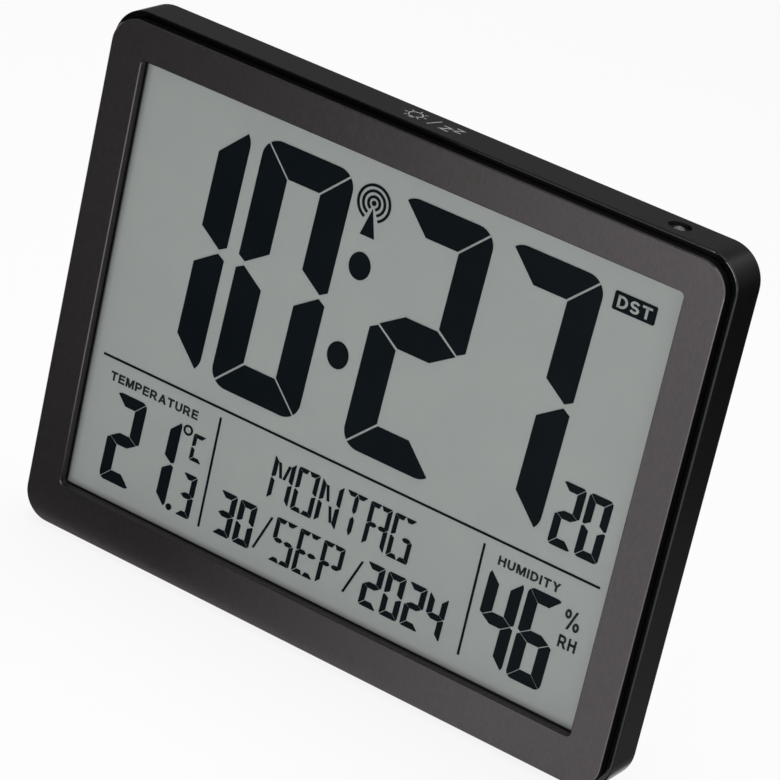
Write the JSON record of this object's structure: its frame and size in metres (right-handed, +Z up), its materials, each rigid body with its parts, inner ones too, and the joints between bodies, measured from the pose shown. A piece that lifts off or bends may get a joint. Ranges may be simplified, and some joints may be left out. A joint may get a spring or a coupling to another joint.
{
  "type": "radio-controlled alarm clock",
  "caption": "Free-standing radio-controlled alarm clock with a large segment display, rear push buttons, sliding battery door, fold-out stand and keyhole hangers.",
  "frame": {"origin": "on the standing surface, under the middle of the clock's overall box", "axes": "+X to the right across the face as seen by its reader, +Y into the clock (the face looks along -Y), +Z up"},
  "size_m": [0.2252, 0.029, 0.1776],
  "materials": {
    "face_paint": "anthracite metallic paint on plastic",
    "case_black": "satin black moulded plastic",
    "display_glass": "clear glass over a grey-green reflector",
    "segment_dark": "blue-black display segments",
    "film_silver": "pearl reflector film",
    "film_white": "white film",
    "guide_clear": "clear acrylic",
    "board_green": "solder-masked circuit board",
    "part_black": "black moulded component",
    "part_white": "white moulded plastic",
    "strip_grey": "soft conductive rubber",
    "button_black": "satin black plastic",
    "ferrite": "grey sintered ferrite",
    "copper": "copper",
    "lens_clear": "clear moulded dome",
    "cell_sleeve": "plain grey sleeve",
    "contact_nickel": "nickel-plated spring steel",
    "screw_steel": "zinc-plated steel"
  },
  "bodies": {
    "case": {"front_bezel": "face_paint", "rear_shell": "case_black", "lcd_glass": "display_glass", "lcd_segments": "segment_dark", "transflector_film": "film_silver", "light_guide": "guide_clear", "backing_film": "film_white", "led_board": "board_green", "leds": "film_white", "lcd_holder": "part_white", "contact_strip": "strip_grey", "main_board": "board_green", "controller_chip": "part_black", "clock_crystal": "contact_nickel", "button_switches": "part_black", "ferrite_rod": "ferrite", "antenna_coil": "copper", "antenna_clips": "part_white", "receiver_board": "board_green", "receiver_chip": "part_black", "sensor_board": "board_green", "humidity_sensor": "part_white", "buzzer": "part_black", "light_sensor": "lens_clear", "touch_foil": "copper", "upper_cell": "cell_sleeve", "lower_cell": "cell_sleeve", "contact_link": "contact_nickel", "contact_positive": "contact_nickel", "contact_negative": "contact_nickel", "contact_springs": "contact_nickel", "case_screws": "screw_steel", "holder_screws": "screw_steel", "board_screws": "screw_steel"},
    "set_button": {"set_button": "button_black"},
    "alarm_button": {"alarm_button": "button_black"},
    "up_button": {"up_button": "button_black"},
    "down_button": {"down_button": "button_black"},
    "wave_button": {"wave_button": "button_black"},
    "unit_button": {"unit_button": "button_black"},
    "battery_door": {"battery_door": "case_black"},
    "stand": {"stand": "case_black"}
  },
  "joints": [
    {"name": "set_press", "type": "slide", "parent": "case", "child": "set_button", "axis": [0, -1, 0], "range_m": [0, 0.0007], "stiffness_N_per_m": 1500},
    {"name": "alarm_press", "type": "slide", "parent": "case", "child": "alarm_button", "axis": [0, -1, 0], "range_m": [0, 0.0007], "stiffness_N_per_m": 1500},
    {"name": "up_press", "type": "slide", "parent": "case", "child": "up_button", "axis": [0, -1, 0], "range_m": [0, 0.0007], "stiffness_N_per_m": 1500},
    {"name": "down_press", "type": "slide", "parent": "case", "child": "down_button", "axis": [0, -1, 0], "range_m": [0, 0.0007], "stiffness_N_per_m": 1500},
    {"name": "wave_press", "type": "slide", "parent": "case", "child": "wave_button", "axis": [0, -1, 0], "range_m": [0, 0.0007], "stiffness_N_per_m": 1500},
    {"name": "unit_press", "type": "slide", "parent": "case", "child": "unit_button", "axis": [0, -1, 0], "range_m": [0, 0.0007], "stiffness_N_per_m": 1500},
    {"name": "battery_door_slide", "type": "slide", "parent": "case", "child": "battery_door", "axis": [0, 0, 1], "range_m": [0, 0.037]},
    {"name": "stand_hinge", "type": "hinge", "parent": "case", "child": "stand", "pos_m": [0, 0.0095, 0.01], "axis": [-1, 0, 0], "range_deg": [0, 82]}
  ]
}
